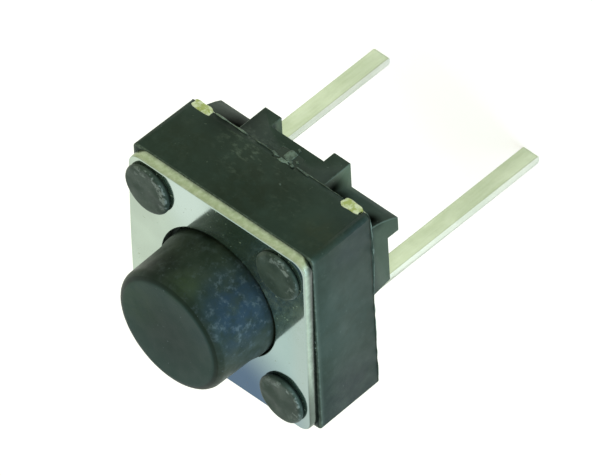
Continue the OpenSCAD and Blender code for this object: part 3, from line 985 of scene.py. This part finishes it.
# Thin ridge round the parting line: a five-sided section carried along the closed path. Its
# size follows noise and falls to almost nothing on the bare stretches, and it sags below the
# line on the side towards +X by sag * sin(share of the way)
def makeFlash(size):
    line, outward = roundedPath(size["half"], size["half"], size["corner"], size["step"])
    swell = np.clip(0.6 + 0.5 * waves(line, size["swellSize"], size["seed"]), 0.15, 1.2)
    for x, y, reach in size["bare"]:
        swell *= np.clip((np.hypot(line[:, 0] - x, line[:, 1] - y) - reach) / 0.06, 0.05, 1)
    x, y, reach, growth = size["full"]
    full = np.clip((reach - np.hypot(line[:, 0] - x, line[:, 1] - y)) / 0.15, 0, 1) * growth
    share = np.clip((line[:, 1] - size["sagFrom"]) / (size["sagTo"] - size["sagFrom"]), 0, 1)
    low = size["z"] - size["sag"] * np.sin(math.pi * share) * (line[:, 0] > size["half"] - 0.02)
    section = np.array([(-0.6, -0.5), (0.1, -0.5), (1, 0), (0.1, 0.5), (-0.6, 0.5)])
    rings = np.empty((len(line), len(section), 3))
    reach = section[:, 0] * size["height"] * swell[:, None]
    rings[..., :2] = line[:, None] + outward[:, None] * reach[..., None]
    rings[..., 2] = low[:, None] + section[:, 1] * size["thick"] * (swell * (1 + full))[:, None]
    mesh = meshFrom("parting_flash", rings.reshape(-1, 3), closedBothWays(rings))
    tones = 0.75 + 0.4 * waves(line, size["toneSize"], size["seed"] + 1)
    tones = np.clip(tones, 0.3, 1) + 0.8 * full
    mark(mesh, "whitened", np.repeat(tones, len(section)))
    return mesh


ridge = addObject("parting_flash", makeFlash(flash))
finishPiece(ridge, flashTorn, "housing", "housing_plastic")
print("gate scar, crumbs and flash made")


scene = bpy.context.scene
scene.view_settings.view_transform = "Standard"


# 1 where a camera, glossy or transmission ray looks, 0 for light that falls on the object
def lookRay(tree):
    path = addNode(tree, "ShaderNodeLightPath").outputs
    direct = calc(tree, "MAXIMUM", path["Is Camera Ray"], path["Is Glossy Ray"])
    return calc(tree, "MAXIMUM", direct, path["Is Transmission Ray"])


ground = {"half": 1500, "z": round(cadLow[2] / mm, 3), "colour": (0.8, 0.8, 0.8, 1),
          "glow": 0.7, "glowColour": (0.95, 0.93, 1, 1)}
corners = [(-1, -1), (1, -1), (1, 1), (-1, 1)]
floorMesh = bpy.data.meshes.new("floor")
floorMesh.from_pydata([(x * ground["half"] * mm, y * ground["half"] * mm, ground["z"] * mm)
                       for x, y in corners], [], [(0, 1, 2, 3)])
floor = addObject("floor", floorMesh)

paleFloor = bpy.data.materials.new("paleFloor")
paleFloor.use_nodes = True
tree = paleFloor.node_tree
tree.nodes.clear()
matte = addNode(tree, "ShaderNodeBsdfDiffuse", Color=ground["colour"])
glow = addNode(tree, "ShaderNodeEmission", Color=ground["glowColour"],
               Strength=times(tree, lookRay(tree), ground["glow"]))
both = addNode(tree, "ShaderNodeAddShader", i0=matte.outputs[0], i1=glow.outputs[0])
addNode(tree, "ShaderNodeOutputMaterial", Surface=both.outputs[0])
floorMesh.materials.append(paleFloor)

studio = {"soft": 0.43, "tint": (0.95, 0.95, 0.44, 1), "seen": 1.0, "seenColour": (1, 1, 1, 1)}
world = bpy.data.worlds.new("studio")
scene.world = world
world.use_nodes = True
tree = world.node_tree
tree.nodes.clear()
soft = addNode(tree, "ShaderNodeBackground", Color=studio["tint"], Strength=studio["soft"])
seen = addNode(tree, "ShaderNodeBackground", Color=studio["seenColour"], Strength=studio["seen"])
both = addNode(tree, "ShaderNodeMixShader", i0=lookRay(tree), i1=soft.outputs[0],
               i2=seen.outputs[0])
addNode(tree, "ShaderNodeOutputWorld", Surface=both.outputs[0])

# name: (direction from the object, distance, size, power in watts, colour)
lamps = {
    "key": ((0.95, 0.12, -0.05), 45, 45, 0.035, (0.55, 0.81, 1.0)),
    "top": ((-0.1, 0.1, 1.0), 90, 70, 0.0235, (0.82, 0.96, 1.0)),
    "fill": ((-0.25, 0.9, 0.25), 100, 70, 0.005, (0.95, 1.0, 0.35)),
}
for name, (way, distance, size, power, colour) in lamps.items():
    light = bpy.data.lights.new(name, "AREA")
    light.energy = power
    light.size = size * mm
    light.color = colour
    lamp = addObject(name, light)
    lamp.visible_glossy = False  # polished metal shows the plain surroundings
    way = Vector(way).normalized()
    lamp.location = way * distance * mm
    lamp.rotation_euler = way.to_track_quat("Z", "Y").to_euler()

# Where it looks and from how far; azimuth from +X towards +Y, elevation and roll in degrees
camera = {
    "target": (-0.075, -0.305, 0.535), "distance": 518.5,
    "azimuth": 55.835, "elevation": 28.497, "roll": -128.374,
    "lens": 1300, "sensor": 36, "near": 10, "far": 5000,
}
lens = bpy.data.cameras.new("camera")
lens.lens, lens.sensor_width = camera["lens"], camera["sensor"]
lens.clip_start, lens.clip_end = camera["near"] * mm, camera["far"] * mm
viewer = addObject("camera", lens)
azimuth, elevation = math.radians(camera["azimuth"]), math.radians(camera["elevation"])
level = Vector((-math.sin(azimuth), math.cos(azimuth), 0))
back = Vector((math.cos(elevation) * math.cos(azimuth), math.cos(elevation) * math.sin(azimuth),
               math.sin(elevation)))
turn = Matrix((level, back.cross(level), back)).transposed()
turn = turn @ Matrix.Rotation(math.radians(camera["roll"]), 3, "Z")
viewer.matrix_world = turn.to_4x4()
viewer.location = (Vector(camera["target"]) + back * camera["distance"]) * mm
scene.camera = viewer

print("scene ready")
